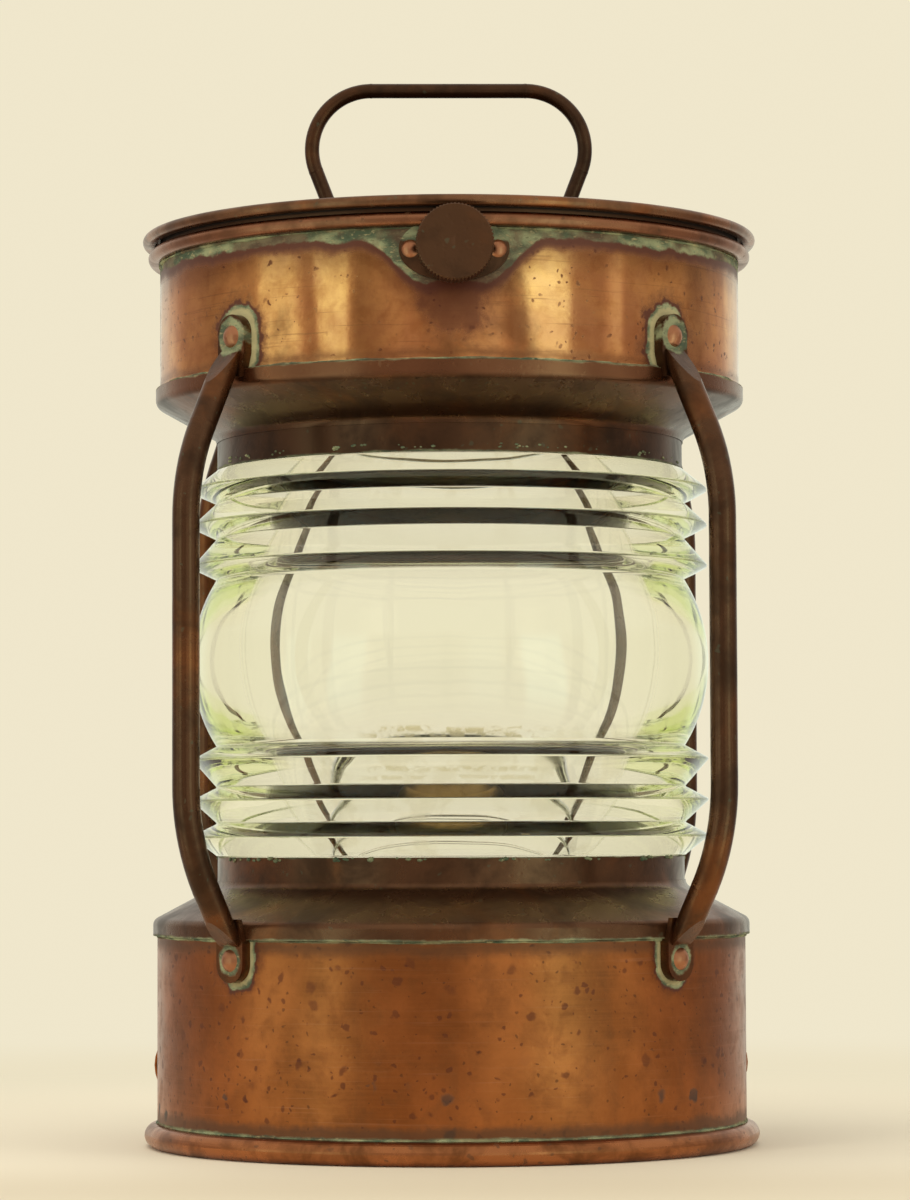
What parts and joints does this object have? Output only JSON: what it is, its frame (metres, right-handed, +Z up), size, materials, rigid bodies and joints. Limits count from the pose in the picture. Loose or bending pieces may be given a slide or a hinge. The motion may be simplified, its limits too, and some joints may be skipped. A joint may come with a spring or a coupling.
{
  "type": "anchor light",
  "caption": "Round copper oil lamp with a ribbed all-round glass lens, guard rods, hinged lid with a screw lock, and a swinging wire handle.",
  "frame": {"origin": "the centre of the lamp's underside, on the floor that it stands on", "axes": "+Z up along the lamp's axis, -Y to the front where the lock knob is, +Y to the back where the lid's hinge is, +X to the right seen from the front"},
  "size_m": [0.189, 0.2059, 0.3271],
  "materials": {
    "bright_copper": "old polished copper with a warm brown cast and soft upright streaks",
    "worn_copper": "brushed copper, orange brown, with brown spots and drips",
    "dark_brass": "dark brown patina, satin",
    "plain_brass": "dull unpolished brass",
    "glass": "thick clear glass with a faint yellow green tint",
    "packing": "old grey sealing packing, matt",
    "wick": "flat woven cotton"
  },
  "bodies": {
    "lantern": {"base_plate": "worn_copper", "foot_ring": "worn_copper", "base_drum": "worn_copper", "air_scoops": "worn_copper", "base_shoulder": "worn_copper", "lower_collar": "worn_copper", "lower_packing": "packing", "lens": "glass", "upper_packing": "packing", "upper_collar": "bright_copper", "upper_shoulder": "bright_copper", "upper_drum": "bright_copper", "body_rim": "bright_copper", "rod_front_left": "dark_brass", "rod_front_right": "dark_brass", "rod_rear_left": "dark_brass", "rod_rear_right": "dark_brass", "rod_rivets": "bright_copper", "lock_plate": "dark_brass", "lock_plate_rivets": "bright_copper", "lock_bush": "dark_brass", "hinge_body_leaf": "dark_brass", "hinge_body_rivets": "dark_brass", "hinge_pin": "dark_brass", "font": "plain_brass", "font_clips": "plain_brass", "font_loop": "plain_brass", "burner": "plain_brass", "burner_cone": "plain_brass"},
    "lid": {"hinge_lid_leaf": "dark_brass", "hinge_lid_rivets": "dark_brass", "lid_plate": "bright_copper", "lid_edge": "bright_copper", "lid_skirt": "bright_copper", "vent_hood": "plain_brass", "vent_posts": "plain_brass", "draught_plate": "plain_brass", "draught_studs": "plain_brass", "handle_ears": "dark_brass", "ear_rivets": "dark_brass"},
    "handle": {"handle": "dark_brass"},
    "lock_slide": {"lock_washer": "plain_brass"},
    "lock_screw": {"lock_screw": "dark_brass", "lock_knob": "dark_brass"},
    "wick": {"wick": "wick"},
    "wick_spindle": {"wick_wheels": "plain_brass", "thumb_wheel": "plain_brass"}
  },
  "joints": [
    {"name": "lid_hinge", "type": "hinge", "parent": "lantern", "child": "lid", "pos_m": [0, 0.0979, 0.2767], "axis": [-1, 0, 0], "range_deg": [0, 110]},
    {"name": "handle_swing", "type": "hinge", "parent": "lid", "child": "handle", "pos_m": [0, 0, 0.2853], "axis": [1, 0, 0], "range_deg": [-90, 90]},
    {"name": "lock_travel", "type": "slide", "parent": "lantern", "child": "lock_slide", "axis": [0, 1, 0], "range_m": [-0.00125, 0.003]},
    {"name": "lock_turn", "type": "hinge", "parent": "lock_slide", "child": "lock_screw", "pos_m": [0, -0.1, 0.263], "axis": [0, 1, 0], "range_deg": [-363, 867]},
    {"name": "wick_turn", "type": "hinge", "parent": "lantern", "child": "wick_spindle", "pos_m": [0, -0.0056, 0.0522], "axis": [1, 0, 0], "range_deg": [-86, 43]},
    {"name": "wick_lift", "type": "slide", "parent": "lantern", "child": "wick", "axis": [0, 0, 1], "range_m": [-0.00602, 0.00302]}
  ],
  "couplings": [
    {"joint": "lock_turn", "follows": "lock_travel", "rad_per_m": 5026.5},
    {"joint": "wick_lift", "follows": "wick_turn", "m_per_rad": 0.004}
  ]
}
